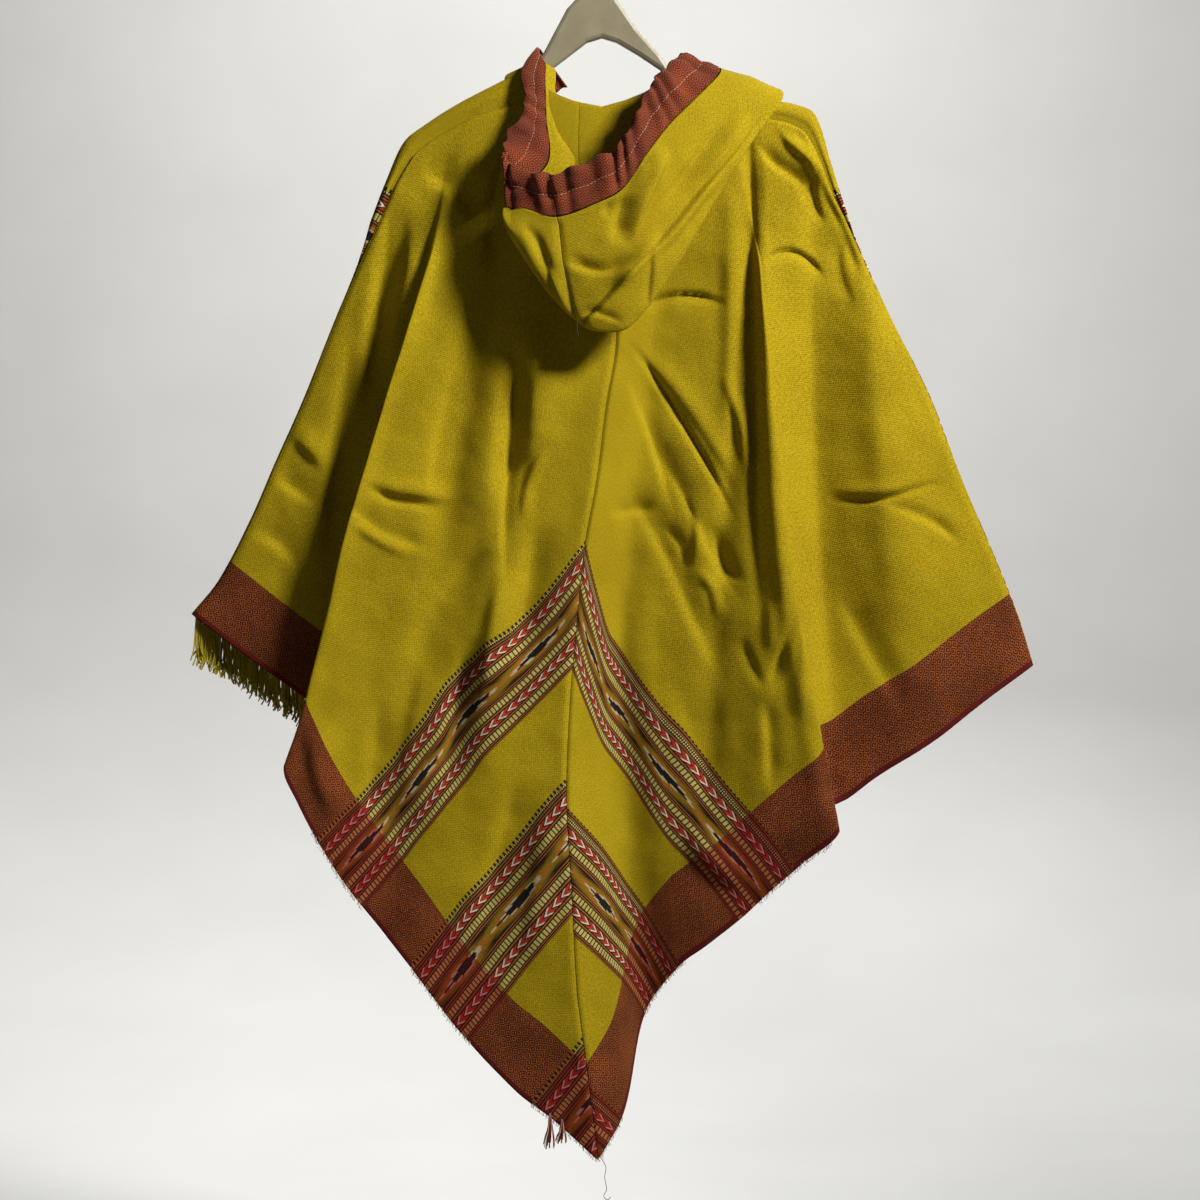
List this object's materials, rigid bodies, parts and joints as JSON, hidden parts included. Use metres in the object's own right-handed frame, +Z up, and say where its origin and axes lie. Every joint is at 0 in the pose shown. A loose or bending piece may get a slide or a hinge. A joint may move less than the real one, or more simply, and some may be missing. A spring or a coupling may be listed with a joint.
{
  "type": "hooded poncho on a coat hanger",
  "caption": "Woven olive poncho with a hood falling down the back, brick border, mitred chevron stripe bands and fringe, hung flat on a contoured hanger",
  "frame": {"origin": "highest inside point of the hanger's hook, where it rests on a rail", "axes": "+Z up, +X to the right when looking at the garment's back, -Y out of the garment's back"},
  "size_m": [0.8962, 0.1259, 1.3099],
  "materials": {
    "olive_twill": "soft napped wool twill in olive yellow",
    "olive_fringe": "loose olive warp yarns",
    "brick_border": "brick red patterned border cloth",
    "hanger_plastic": "smooth satin taupe",
    "hook_steel": "polished wire"
  },
  "bodies": {
    "root": {"back_left": "olive_twill", "back_right": "olive_twill", "front": "olive_twill", "hood_left": "olive_twill", "hood_right": "olive_twill", "casing_left": "brick_border", "casing_right": "brick_border", "fringe_left": "olive_fringe", "fringe_right": "olive_fringe", "hanger": "hanger_plastic", "hanger_hook": "hook_steel"}
  },
  "joints": []
}
